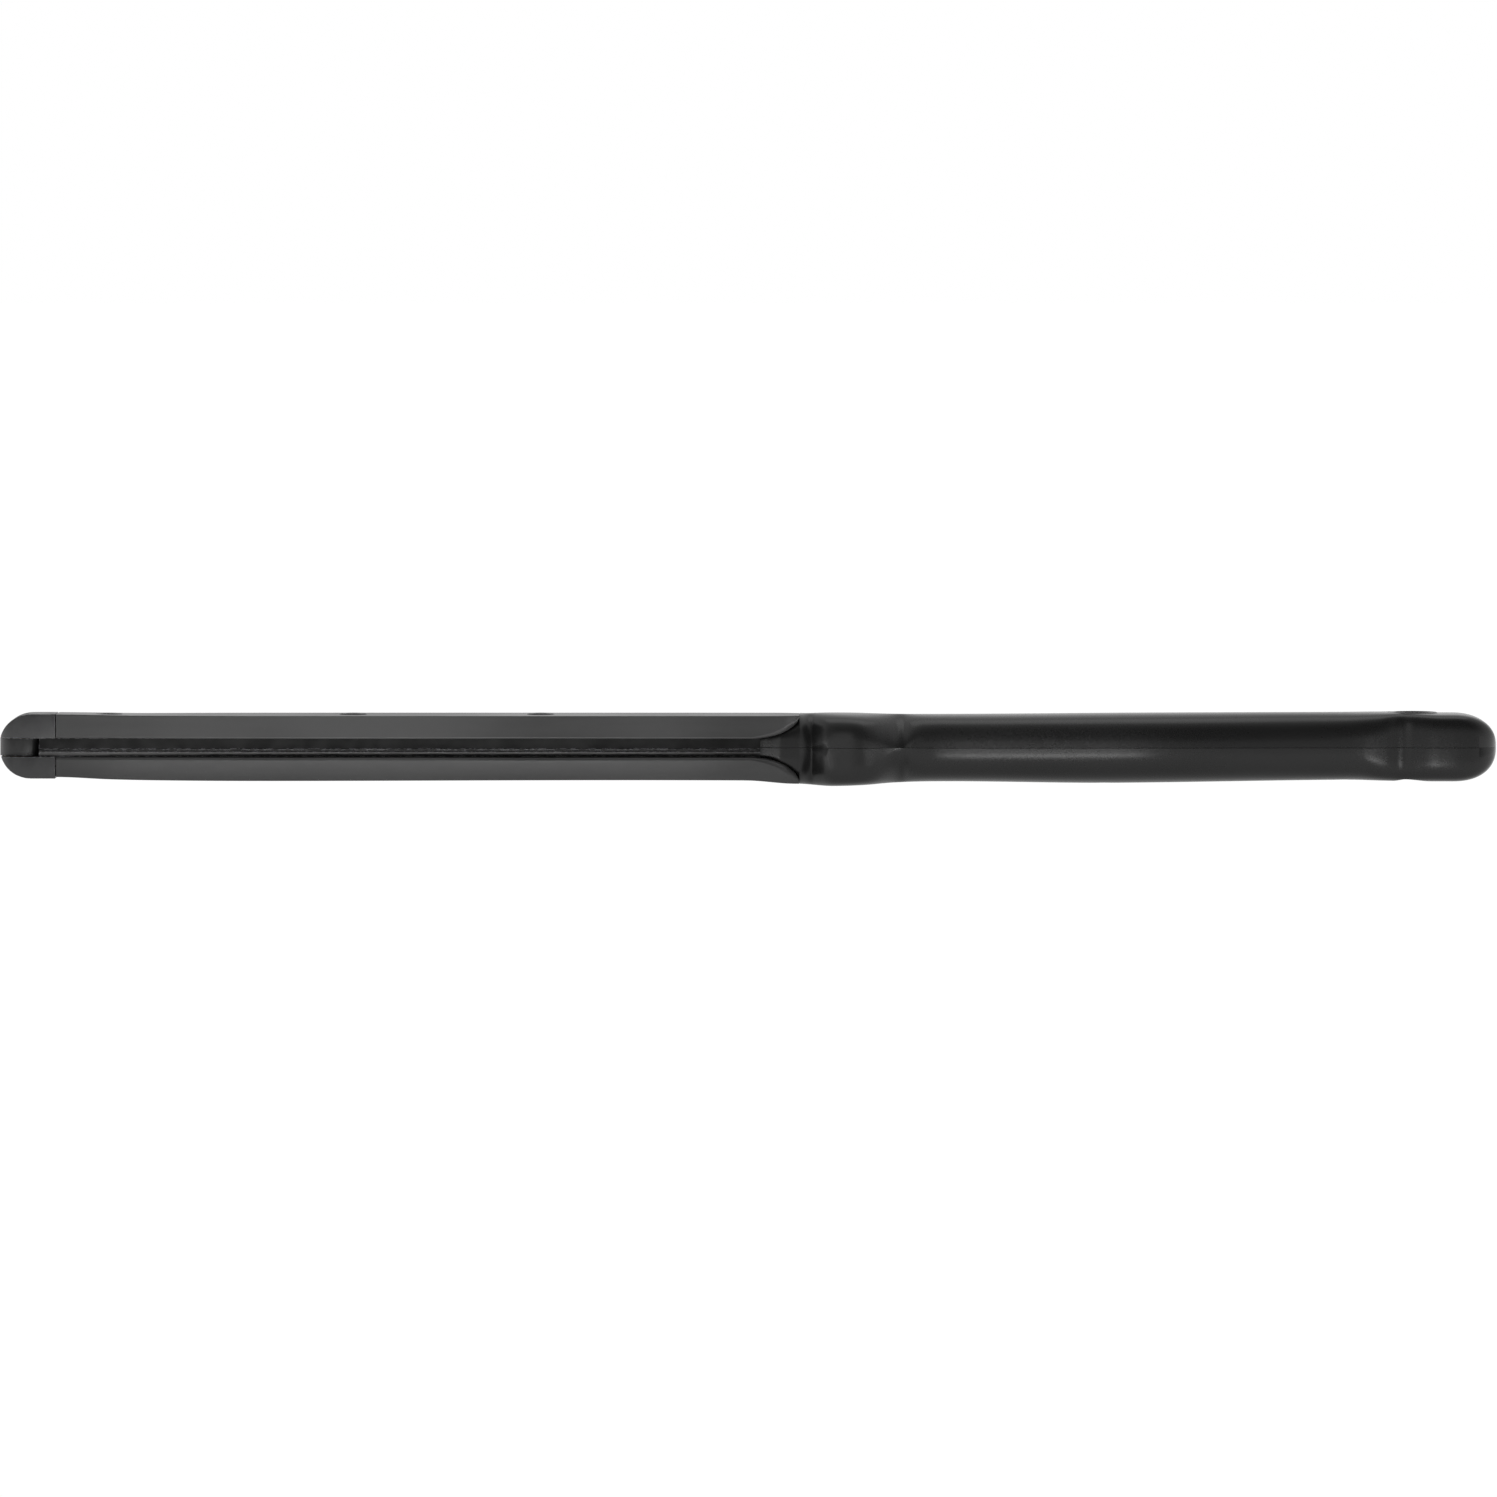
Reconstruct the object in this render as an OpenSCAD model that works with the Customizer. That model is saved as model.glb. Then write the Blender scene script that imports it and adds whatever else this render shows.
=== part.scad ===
/* [Bar] */
// Length from the nose to the end of the grip
bar_length = 610; // [590:1:640]
// Width of the shank covers in plan
shank_width = 33; // [31:0.5:35]
// Height of the shank across both covers
shank_height = 26.2; // [25.8:0.2:27.4]
// Height of the slot that runs along the middle of both sides
slot_height = 7.6; // [7.2:0.1:8.2]
// Width of the fork in plan
fork_width = 23; // [22.6:0.2:24]

/* [Drive head] */
// Across flats of the drive square
drive_square = 12.7; // [12.6:0.02:12.7]
// Length of the drive square
drive_length = 15; // [13:0.5:15.5]
// Distance from the hinge axis to the shoulder of the square
shoulder_reach = 13.4; // [13.4:0.1:14]
// Diameter of the hinge pin
hinge_pin_d = 7; // [6:0.5:7.5]
// How far the socket detent ball stands out of the square
detent_proud = 1; // [0.8:0.1:1.2]

/* [Steel core] */
// Width of the core bar in plan
core_width = 18; // [17:0.5:20]
// Height of the core bar inside the covers
core_height = 16; // [14:0.5:16.5]
// Width of the tang inside the grip
tang_width = 15; // [12:0.5:16]
// Height of the tang inside the grip
tang_height = 13; // [11:0.5:14]

/* [Fasteners] */
// Diameter of the cover screw heads
cover_head_d = 11; // [10:0.5:12]
// How far the cover screw heads stand above the upper cover
cover_head_proud = 0.5; // [0.3:0.1:0.8]
// Across the corners of the cover screws' hexagon sockets
cover_socket_d = 7.5; // [6:0.5:8]
// Diameter of the grip screw heads
grip_head_d = 7.5; // [7:0.5:8]

/* [Hang hole] */
// Diameter of the open hole in the eyelet
hang_hole_d = 15; // [12:0.5:15]
// Diameter of the flange on the upper side
eyelet_flange_d = 20; // [19:0.5:21]

/* [Hidden] */
$fn = 64;
eps = 0.01;

// Everything is drawn with X from the nose, Y from the middle of the bar and Z from the middle
// of the slot. in_frame() then moves the origin to the foot of the drive square.
hinge_x = 9;
knuckle_r = hinge_x;
fit = 0.05;
washer_t = 0.2;

// Fork
fork_end = 23;
nose_r = 13.1;
nose_rise = 0.5;
nose_corner_r = 7.5;
slot_root = 18.4;
neck_half = 7;
slot_end = hinge_x + neck_half + 0.4;
knuckle_height = slot_height - 2 * washer_t - 2 * fit;
pin_bottom = -10.4;
pin_top = 11;
pin_groove_z = 8.2;
pin_groove_depth = 0.5;
lock_screw_d = 4;
lock_screw_top = fork_width / 2 - 0.6;

// Tension ball and spring, in a blind hole in the root of the fork
ball_d = 5;
ball_hole_d = ball_d + 2 * fit;
tension_hole_end = 36;
tension_ball_x = hinge_x + knuckle_r + ball_d / 2 + 0.03;

// Socket detent, in the upper face of the square
detent_y = shoulder_reach + drive_length - 6.5;
detent_ball_z = drive_square / 2 + detent_proud - ball_d / 2;
detent_hole_bottom = -3;

// Grip stations are measured back from the end of the bar
valley = bar_length - 284;
notch_start = valley - 20;
tongue_start = valley - 16;
tang_start = valley - 4;
tang_end = bar_length - 54;
end_cap = bar_length - 18;
parting_gap = 0.05;
tongue_gap = 0.1;
cavity_gap = 0.1;
grip_screws_x = [valley + 19, valley + 124, valley + 222];
cover_screws_x = [44, 143.5, 220];
hang_x = bar_length - 34;

// Cover screws and sleeve nuts
cover_top = shank_height / 2;
sleeve_d = 7;
cover_shank_d = 4.9;
head_sink = 1.8;
cover_socket = 1.6;
nut_bottom = -12.6;
nut_flange = 1;

// Grip screws, inserts and plugs
grip_shank_d = 4;
insert_d = 6;
insert_bottom = tang_height / 2 + 0.6;
insert_top = insert_bottom + 4.2;
grip_head_top = -tang_height / 2 - 1.2;
grip_head_height = 2.6;
plug_height = 2;

// Eyelet seats in the pommel
eyelet_tube_d = hang_hole_d + 2;
eyelet_seat_z = 12.8;
eyelet_flange_t = 1.3;
washer_seat_z = -11.6;
eyelet_washer_d = 20;
eyelet_washer_t = 1.2;

// Half heights and half widths of the grip moulding, as [distance from the valley, value]
grip_upper = [[0, 13.6], [12, 13.75], [55, 13.2], [140, 13.75], [215, 14], [262, 13.6]];
grip_lower = [[-12, 13.4], [0, 15.1], [13, 15.9], [54, 13.95], [125, 14.6], [222, 13.45], [260, 14]];
grip_half = [
    [-16, 11.5], [-8, 14.2], [-3, 13.4], [1, 11.8], [3.5, 11], [6.5, 12.8], [11, 15.2],
    [17, 17.4], [24, 19.2], [29, 18.2], [36, 15], [41.5, 13], [46, 14], [56, 15.6], [90, 16.4],
    [150, 15.8], [212, 14], [230, 15], [239, 13.6], [244.5, 11.8], [250, 13.4], [260, 15.4]
];
upper_power = [
    [-10, 8], [-4, 6], [3, 2.2], [9, 3], [20, 3.6], [30, 2.6], [36, 1.9], [41.5, 1.4], [45, 2],
    [50, 2.7], [62, 3], [212, 3], [236, 4], [244, 5], [252, 6]
];
lower_power = [
    [-10, 8], [-4, 6], [3, 2.4], [9, 3], [20, 3.2], [30, 2.5], [36, 1.9], [41.5, 1.4], [45, 1.9],
    [50, 2.4], [62, 2.6], [226, 2.6], [238, 4.4], [244, 5], [254, 5]
];
cover_half = [
    [fork_end, fork_width / 2], [60, fork_width / 2 + 2.2], [105, shank_width / 2],
    [valley - 15, shank_width / 2], [valley - 6, shank_width / 2 - 1.1], [valley, shank_width / 2 - 3.7]
];
cover_rise = [[fork_end, cover_top + 0.45], [60, cover_top]];
cover_drop = [[fork_end, 12], [60, cover_top]];

// ---- curves ----

// Slope of a table at one of its points, level at both ends
function slope(table, i) =
    i <= 0 || i >= len(table) - 1
        ? 0
        : (table[i + 1][1] - table[i - 1][1]) / (table[i + 1][0] - table[i - 1][0]);

// Cubic between two neighbouring points of a table
function cubic(table, i, x) =
    let (
        width = table[i + 1][0] - table[i][0],
        t = (x - table[i][0]) / width,
        a = table[i][1],
        b = table[i + 1][1]
    )
    a * (1 + 2 * t) * (1 - t) ^ 2 + b * (3 - 2 * t) * t ^ 2
        + width * t * (1 - t) * (slope(table, i) * (1 - t) - slope(table, i + 1) * t);

// Value of a table at x, constant beyond its ends
function along(table, x, i = 0) =
    x <= table[0][0] ? table[0][1]
    : i >= len(table) - 1 ? table[len(table) - 1][1]
    : x <= table[i + 1][0] ? cubic(table, i, x)
    : along(table, x, i + 1);

// Half height of the notch that the grip's tongue fills, an elliptical arc
function notch(x) =
    let (t = max(0, min(1, (x - notch_start) / (valley - notch_start))))
    slot_height / 2 + (cover_top + 0.3 - slot_height / 2) * (1 - sqrt(1 - t ^ 2));

// How the section shrinks over the rounded end of the grip
function cap(x) =
    let (t = max(0, min(1, (x - end_cap) / (bar_length - end_cap))))
    (1 - t ^ 2.3) ^ (1 / 2.3);

// Half height of the grip on its upper (side = 1) or lower (side = -1) half
function grip_height(x, side) =
    let (full = along(side > 0 ? grip_upper : grip_lower, x - valley))
    cap(x) * (x < valley ? min(full, notch(x) - tongue_gap) : full);

// Stations of the grip moulding, closer together where it swells and creases
grip_stations = concat(
    [for (x = [tongue_start : 1.5 : valley - 1]) x],
    [valley - 0.3],
    [for (x = [valley + 1 : 2.5 : valley + 58]) x],
    [for (x = [valley + 64 : 13 : valley + 220]) x],
    [for (x = [valley + 225 : 2.5 : end_cap]) x],
    [for (a = [18 : 14 : 88]) end_cap + (bar_length - end_cap) * sin(a)]
);
section_steps = 14;

// One point of a section: a superellipse, from one side over the top or bottom to the other
function section_point(x, side, j) =
    let (
        a = 180 * j / section_steps,
        power = 2 / along(side > 0 ? upper_power : lower_power, x - valley),
        half = along(grip_half, x - valley) * cap(x),
        flat = side * parting_gap
    )
    [
        x,
        sign(cos(a)) * half * abs(cos(a)) ^ power,
        flat + side * (grip_height(x, side) - parting_gap) * sin(a) ^ power
    ];

// Points of a helix of round wire along Z
function coil_point(radius, wire_r, pitch, turn, side_angle) =
    let (
        a = 360 * turn,
        rise = pitch / (2 * PI * radius),
        out = radius + wire_r * cos(side_angle),
        up = wire_r * sin(side_angle)
    )
    [out * cos(a) + up * rise * sin(a), out * sin(a) - up * rise * cos(a), pitch * turn + up];

// ---- shared shapes ----

module in_frame() {
    translate([-hinge_x, -shoulder_reach, 0]) children();
}

// Solid between z0 and z1
module post(d, z0, z1) {
    translate([0, 0, z0]) cylinder(d = d, h = z1 - z0);
}

module coil(outer_d, wire_d, length, turns) {
    sides = 8;
    steps = 14;
    rings = turns * steps;
    radius = (outer_d - wire_d) / 2;
    pitch = (length - wire_d) / turns;
    points = [
        for (i = [0 : rings], j = [0 : sides - 1])
            coil_point(radius, wire_d / 2, pitch, i / steps, 360 * j / sides)
    ];
    walls = [
        for (i = [0 : rings - 1], j = [0 : sides - 1])
            let (k = (j + 1) % sides)
            [i * sides + j, i * sides + k, (i + 1) * sides + k, (i + 1) * sides + j]
    ];
    ends = [[for (j = [sides - 1 : -1 : 0]) j], [for (j = [0 : sides - 1]) rings * sides + j]];
    translate([0, 0, wire_d / 2]) polyhedron(points, concat(walls, ends));
}

module grip_loft(side) {
    ring = section_steps + 1;
    last = len(grip_stations) - 1;
    points = [
        for (i = [0 : last], j = [0 : section_steps]) section_point(grip_stations[i], side, j)
    ];
    walls = [
        for (i = [0 : last - 1], j = [0 : section_steps])
            let (k = (j + 1) % ring)
            [i * ring + j, i * ring + k, (i + 1) * ring + k, (i + 1) * ring + j]
    ];
    first_end = [for (j = [section_steps : -1 : 0]) j];
    last_end = [for (j = [0 : section_steps]) last * ring + j];
    faces = concat(walls, [first_end, last_end]);
    outward = side < 0 ? faces : [for (f = faces) [for (k = [len(f) - 1 : -1 : 0]) f[k]]];
    polyhedron(points, outward);
}

// The core bar and tang with some room round them
module core_space(gap) {
    translate([tongue_start - 5, -core_width / 2 - gap, -core_height / 2 - gap])
        cube([tang_start - tongue_start + 5 + gap, core_width + 2 * gap, core_height + 2 * gap]);
    translate([tang_start, -tang_width / 2 - gap, -tang_height / 2 - gap])
        cube([tang_end - tang_start + gap, tang_width + 2 * gap, tang_height + 2 * gap]);
}

// Plan outline of the covers
module cover_plan() {
    xs = concat([for (x = [fork_end : 6 : 105]) x], [for (x = [valley - 15 : 1.5 : valley]) x]);
    polygon(concat(
        [for (x = xs) [x, along(cover_half, x)]],
        [for (i = [len(xs) - 1 : -1 : 0]) [xs[i], -along(cover_half, xs[i])]]
    ));
}

// Side outline of a cover, from the edge of the slot out to its broad face
module cover_side(side) {
    arc = [for (a = [0 : 7.5 : 90]) notch_start + (valley - notch_start) * sin(a)];
    outer = side > 0 ? cover_rise : cover_drop;
    front = [for (x = [fork_end : 6 : 60]) [x, along(outer, x)]];
    edge = [for (x = arc) if (notch(x) < cover_top) [x, notch(x)]];
    last_x = edge[len(edge) - 1][0];
    points = concat(
        [[fork_end, slot_height / 2]],
        edge,
        [[last_x + 0.4, cover_top], [60, cover_top]],
        [for (i = [len(front) - 1 : -1 : 0]) front[i]]
    );
    scale([1, side]) polygon(points);
}

module cover_blank(side) {
    intersection() {
        translate([0, 0, -cover_top - 2]) linear_extrude(2 * cover_top + 4) cover_plan();
        rotate([90, 0, 0]) translate([0, 0, -shank_width]) linear_extrude(2 * shank_width)
            cover_side(side);
    }
}

// ---- head and fork ----

module fork_side_outline() {
    translate([nose_r, nose_rise]) circle(nose_r);
    translate([nose_r, nose_rise - nose_r]) square([fork_end - nose_r, 2 * nose_r]);
}

module fork_plan_outline() {
    corner_y = fork_width / 2 - nose_corner_r;
    for (side = [-1, 1]) translate([nose_corner_r, side * corner_y]) circle(nose_corner_r);
    translate([0, -corner_y]) square([fork_end, 2 * corner_y]);
    translate([nose_corner_r, -fork_width / 2]) square([fork_end - nose_corner_r, fork_width]);
}

module core_bar() {
    color([0.11, 0.11, 0.115]) in_frame() difference() {
        union() {
            intersection() {
                rotate([90, 0, 0]) translate([0, 0, -fork_width]) linear_extrude(2 * fork_width)
                    fork_side_outline();
                translate([0, 0, -2 * nose_r]) linear_extrude(4 * nose_r) fork_plan_outline();
            }
            translate([fork_end - eps, -core_width / 2, -core_height / 2])
                cube([tang_start - fork_end + eps, core_width, core_height]);
            translate([tang_start - eps, -tang_width / 2, -tang_height / 2])
                cube([tang_end - tang_start + eps, tang_width, tang_height]);
        }
        translate([-1, -fork_width, -slot_height / 2])
            cube([slot_end + 1, 2 * fork_width, slot_height]);
        translate([hinge_x, 0, 0]) post(2 * (slot_root - hinge_x), -slot_height / 2, slot_height / 2);
        for (y = [-fork_width - core_width / 2, core_width / 2])
            translate([slot_end - 1, y, -slot_height / 2])
                cube([fork_end - slot_end + 2, fork_width, slot_height]);
        translate([hinge_x, 0, 0]) post(hinge_pin_d + 2 * 0.02, -2 * nose_r, 2 * nose_r);
        translate([hinge_x, 0, pin_groove_z]) rotate([-90, 0, 0])
            cylinder(d = lock_screw_d + 2 * fit, h = fork_width);
        translate([slot_root - 1, 0, 0]) rotate([0, 90, 0])
            cylinder(d = ball_hole_d, h = tension_hole_end - slot_root + 1);
        for (x = cover_screws_x) translate([x, 0, 0])
            post(sleeve_d + 2 * fit, -core_height, core_height);
        for (x = grip_screws_x) translate([x, 0, 0])
            post(grip_shank_d + 0.8, -core_height, core_height);
    }
}

module drive_head() {
    tip = shoulder_reach + drive_length;
    chamfer = 1.2;
    color([0.12, 0.12, 0.12]) in_frame() translate([hinge_x, 0, 0]) difference() {
        union() {
            post(2 * knuckle_r, -knuckle_height / 2, knuckle_height / 2);
            translate([-neck_half, 0, -knuckle_height / 2])
                cube([2 * neck_half, shoulder_reach, knuckle_height]);
            intersection() {
                translate([-drive_square / 2, shoulder_reach - eps, -drive_square / 2])
                    cube([drive_square, drive_length + eps, drive_square]);
                translate([0, tip, 0]) rotate([90, 0, 0]) union() {
                    cylinder(d1 = drive_square * 1.32 - 2 * chamfer, d2 = drive_square * 1.32,
                        h = chamfer);
                    translate([0, 0, chamfer])
                        cylinder(d = drive_square * 1.32, h = drive_length - chamfer + 1);
                }
            }
        }
        post(hinge_pin_d + 2 * fit, -knuckle_height, knuckle_height);
        translate([0, detent_y, 0]) post(ball_hole_d, detent_hole_bottom, drive_square);
    }
}

module hinge_pin() {
    color([0.7, 0.7, 0.72]) in_frame() translate([hinge_x, 0, 0]) difference() {
        union() {
            post(hinge_pin_d, pin_bottom, pin_top - 0.6);
            translate([0, 0, pin_top - 0.6])
                cylinder(d1 = hinge_pin_d, d2 = hinge_pin_d - 1.2, h = 0.6);
        }
        translate([0, 0, pin_groove_z - lock_screw_d / 2]) difference() {
            cylinder(d = hinge_pin_d + 1, h = lock_screw_d);
            translate([0, 0, -1])
                cylinder(d = hinge_pin_d - 2 * pin_groove_depth, h = lock_screw_d + 2);
        }
    }
}

module pin_lock_screw() {
    tip = hinge_pin_d / 2 - pin_groove_depth + 0.05;
    socket = 2;
    color([0.08, 0.08, 0.08]) in_frame() translate([hinge_x, tip, pin_groove_z])
        rotate([-90, 0, 0]) difference() {
            union() {
                cylinder(d = lock_screw_d - 1.2, h = 1);
                translate([0, 0, 1 - eps])
                    cylinder(d = lock_screw_d, h = lock_screw_top - tip - 1 + eps);
            }
            translate([0, 0, lock_screw_top - tip - socket])
                cylinder(d = 2.3, h = socket + 1, $fn = 6);
        }
}

module thrust_washer(side) {
    color([0.72, 0.55, 0.25]) in_frame() translate([hinge_x, 0, 0]) difference() {
        z = side * (slot_height / 2 - washer_t / 2 - fit / 2);
        post(2 * knuckle_r - 2, z - washer_t / 2, z + washer_t / 2);
        post(hinge_pin_d + 4 * fit, z - washer_t, z + washer_t);
    }
}

module upper_thrust_washer() {
    thrust_washer(1);
}

module lower_thrust_washer() {
    thrust_washer(-1);
}

module tension_ball() {
    color([0.75, 0.75, 0.76]) in_frame() translate([tension_ball_x, 0, 0]) sphere(d = ball_d);
}

module tension_spring() {
    start = tension_ball_x + ball_d / 2 + 0.05;
    color([0.6, 0.6, 0.62]) in_frame() translate([start, 0, 0]) rotate([0, 90, 0])
        coil(ball_d - 0.5, 0.8, tension_hole_end - start - 0.05, 6);
}

module detent_ball() {
    color([0.75, 0.75, 0.76]) in_frame() translate([hinge_x, detent_y, detent_ball_z])
        sphere(d = ball_d);
}

module detent_spring() {
    length = detent_ball_z - ball_d / 2 - detent_hole_bottom - 0.1;
    color([0.6, 0.6, 0.62]) in_frame() translate([hinge_x, detent_y, detent_hole_bottom + 0.05])
        coil(ball_d - 0.8, 0.5, length, 5);
}

// ---- shank covers ----

module upper_shank_cover() {
    color([0.13, 0.13, 0.13]) in_frame() difference() {
        cover_blank(1);
        translate([0, -core_width / 2, -1]) cube([bar_length, core_width, core_height / 2 + 1]);
        for (x = cover_screws_x) translate([x, 0, 0]) {
            post(sleeve_d + 0.2, 0, cover_top + 5);
            post(cover_head_d + 0.4, cover_top - head_sink, cover_top + 5);
        }
    }
}

module lower_shank_cover() {
    color([0.14, 0.14, 0.14]) in_frame() difference() {
        cover_blank(-1);
        translate([0, -core_width / 2, -core_height / 2])
            cube([bar_length, core_width, core_height / 2 + 1]);
        for (x = cover_screws_x) translate([x, 0, 0]) {
            post(sleeve_d + 0.2, -cover_top - 5, 0);
            post(cover_head_d + 0.4, -cover_top - 5, nut_bottom + nut_flange);
        }
    }
}

module cover_screws() {
    dome = cover_head_proud * 0.55;
    seat = cover_top - head_sink;
    top = cover_top + cover_head_proud;
    color([0.1, 0.1, 0.1]) in_frame() for (x = cover_screws_x) translate([x, 0, 0]) difference() {
        union() {
            post(cover_head_d, seat, top - dome);
            translate([0, 0, top - dome])
                cylinder(d1 = cover_head_d, d2 = cover_head_d - 2.5, h = dome);
            post(cover_shank_d, -core_height / 2, seat + eps);
        }
        translate([0, 0, top - cover_socket]) cylinder(d = cover_socket_d, h = 3, $fn = 6);
    }
}

module cover_sleeve_nuts() {
    seat = nut_bottom + nut_flange;
    color([0.1, 0.1, 0.1]) in_frame() for (x = cover_screws_x) translate([x, 0, 0]) difference() {
        union() {
            post(cover_head_d, nut_bottom, seat);
            post(sleeve_d, seat - eps, cover_top - head_sink - 0.2);
        }
        post(cover_shank_d + 0.1, -core_height / 2 - 0.2, cover_top);
    }
}

// ---- grip ----

module upper_grip_half() {
    color([0.09, 0.09, 0.09]) in_frame() difference() {
        grip_loft(1);
        core_space(cavity_gap);
        for (x = grip_screws_x) translate([x, 0, 0]) post(insert_d + 0.02, 0, insert_top + 0.3);
        translate([hang_x, 0, 0]) {
            post(eyelet_tube_d + 0.1, -1, 2 * eyelet_seat_z);
            post(eyelet_flange_d + 0.4, eyelet_seat_z, 2 * eyelet_seat_z);
        }
    }
}

module lower_grip_half() {
    color([0.09, 0.09, 0.09]) in_frame() difference() {
        grip_loft(-1);
        core_space(cavity_gap);
        for (x = grip_screws_x) translate([x, 0, 0]) {
            post(grip_shank_d + 0.4, -30, 0);
            post(grip_head_d + 0.3, -30, grip_head_top);
        }
        translate([hang_x, 0, 0]) {
            post(eyelet_tube_d + 0.1, -30, 1);
            post(eyelet_washer_d + 0.3, -30, washer_seat_z);
        }
    }
}

module grip_screws() {
    color([0.2, 0.2, 0.2]) in_frame() for (x = grip_screws_x) translate([x, 0, 0]) difference() {
        union() {
            post(grip_head_d, grip_head_top - grip_head_height, grip_head_top);
            post(grip_shank_d, grip_head_top - eps, insert_top - 0.4);
        }
        translate([0, 0, grip_head_top - grip_head_height - 1]) cylinder(d = 3.5, h = 2.4, $fn = 6);
    }
}

module grip_inserts() {
    color([0.78, 0.62, 0.28]) in_frame() for (x = grip_screws_x) translate([x, 0, 0]) difference() {
        post(insert_d, insert_bottom, insert_top);
        post(grip_shank_d + 0.1, insert_bottom - 1, insert_top + 1);
    }
}

module screw_hole_plugs() {
    color([0.07, 0.07, 0.07]) in_frame() for (x = grip_screws_x) {
        mouth = -along(grip_lower, x - valley) + 0.5;
        translate([x, 0, 0]) post(grip_head_d + 0.2, mouth, mouth + plug_height);
    }
}

module hang_eyelet() {
    rim = 0.5;
    color([0.12, 0.12, 0.12]) in_frame() translate([hang_x, 0, 0]) difference() {
        union() {
            post(eyelet_flange_d, eyelet_seat_z, eyelet_seat_z + eyelet_flange_t - rim);
            translate([0, 0, eyelet_seat_z + eyelet_flange_t - rim])
                cylinder(d1 = eyelet_flange_d, d2 = eyelet_flange_d - 2 * rim, h = rim);
            post(eyelet_tube_d, washer_seat_z - eyelet_washer_t, eyelet_seat_z + eps);
        }
        post(hang_hole_d, -30, 30);
    }
}

module eyelet_washer() {
    color([0.12, 0.12, 0.12]) in_frame() translate([hang_x, 0, 0]) difference() {
        post(eyelet_washer_d, washer_seat_z - eyelet_washer_t, washer_seat_z);
        post(eyelet_tube_d + 0.05, -30, 30);
    }
}

core_bar();
drive_head();
hinge_pin();
pin_lock_screw();
upper_thrust_washer();
lower_thrust_washer();
tension_ball();
tension_spring();
detent_ball();
detent_spring();
upper_shank_cover();
lower_shank_cover();
cover_screws();
cover_sleeve_nuts();
upper_grip_half();
lower_grip_half();
grip_screws();
grip_inserts();
screw_hole_plugs();
hang_eyelet();
eyelet_washer();
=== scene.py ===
import math

import bmesh
import bpy
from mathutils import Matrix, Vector

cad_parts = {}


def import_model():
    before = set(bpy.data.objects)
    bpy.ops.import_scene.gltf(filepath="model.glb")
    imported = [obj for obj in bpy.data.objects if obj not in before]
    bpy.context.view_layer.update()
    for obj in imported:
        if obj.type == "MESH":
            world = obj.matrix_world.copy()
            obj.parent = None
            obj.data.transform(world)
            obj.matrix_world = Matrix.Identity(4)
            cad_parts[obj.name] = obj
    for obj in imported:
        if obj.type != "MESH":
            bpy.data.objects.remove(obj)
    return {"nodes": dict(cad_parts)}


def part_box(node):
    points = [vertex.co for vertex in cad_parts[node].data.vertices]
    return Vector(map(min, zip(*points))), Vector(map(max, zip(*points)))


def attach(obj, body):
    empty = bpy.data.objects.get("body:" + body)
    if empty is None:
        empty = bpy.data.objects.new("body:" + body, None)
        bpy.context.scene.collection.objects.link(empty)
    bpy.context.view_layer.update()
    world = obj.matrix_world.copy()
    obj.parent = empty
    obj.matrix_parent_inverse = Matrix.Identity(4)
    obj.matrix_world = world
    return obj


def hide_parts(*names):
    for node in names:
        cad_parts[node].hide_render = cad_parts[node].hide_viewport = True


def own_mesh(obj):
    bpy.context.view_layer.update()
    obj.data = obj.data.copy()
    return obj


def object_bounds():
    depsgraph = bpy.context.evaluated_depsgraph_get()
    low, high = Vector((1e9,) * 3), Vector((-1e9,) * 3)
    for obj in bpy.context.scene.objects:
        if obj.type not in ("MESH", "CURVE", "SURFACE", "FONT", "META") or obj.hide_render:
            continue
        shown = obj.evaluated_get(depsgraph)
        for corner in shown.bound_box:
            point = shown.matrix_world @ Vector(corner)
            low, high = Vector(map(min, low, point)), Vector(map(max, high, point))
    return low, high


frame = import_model()
cad_low, cad_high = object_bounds()

MM = 0.001

# ---- places, from the frame ----

core_low, core_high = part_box("core_bar")
NOSE_X = core_low.x
AXIS_Y = (core_low.y + core_high.y) / 2
BAR_LENGTH = (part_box("upper_grip_half")[1].x - NOSE_X) / MM


def middle(node):
    """Middle of a node, in millimetres from the nose, the axis and the slot's middle."""
    low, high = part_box(node)
    centre = (low + high) / 2
    return Vector((centre.x - NOSE_X, centre.y - AXIS_Y, centre.z)) / MM


def heights(node):
    """Lowest and highest points of a node, in millimetres."""
    low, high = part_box(node)
    return low.z / MM, high.z / MM


# ---- shape of the bar, in millimetres from the nose, the axis and the slot's middle ----

VALLEY = BAR_LENGTH - 284
NOTCH_START = VALLEY - 20
TONGUE_START = VALLEY - 16
TANG_START = VALLEY - 4
TANG_END = BAR_LENGTH - 54
END_CAP = BAR_LENGTH - 18
FORK_END = 23
COVER_TOP = 13.1
SLOT_HALF = 3.8
HINGE_X = middle("hinge_pin").x
SLOT_END = HINGE_X + 7.4
HANG_X = middle("hang_eyelet").x

# Half width and half height of the core bar and of its tang.
CORE_HALF, CORE_TOP = 9, 8
TANG_HALF, TANG_TOP = 7.5, 6.5

# Screws: their stations, the heights where heads, nuts and blind bores end, and the outer radii.
COVER_SCREWS = [44, 143.5, 220]
GRIP_SCREWS = [VALLEY + 19, VALLEY + 124, VALLEY + 222]
SCREW_SEAT = COVER_TOP - 1.8
NUT_SEAT = -11.6
NUT_BORE_END = -8.2
HEAD_R = 5.5
SLEEVE_R = 3.5
INSERT_R = 3.0
PLUG_R = 3.85

# Eyelet: radii of its bore, tube and flange, the flange's thickness, and the washer's bore.
EYELET_BORE, EYELET_TUBE, EYELET_FLANGE, EYELET_THICK = 7.5, 8.5, 10.0, 1.3
WASHER_BORE = 8.55

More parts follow.
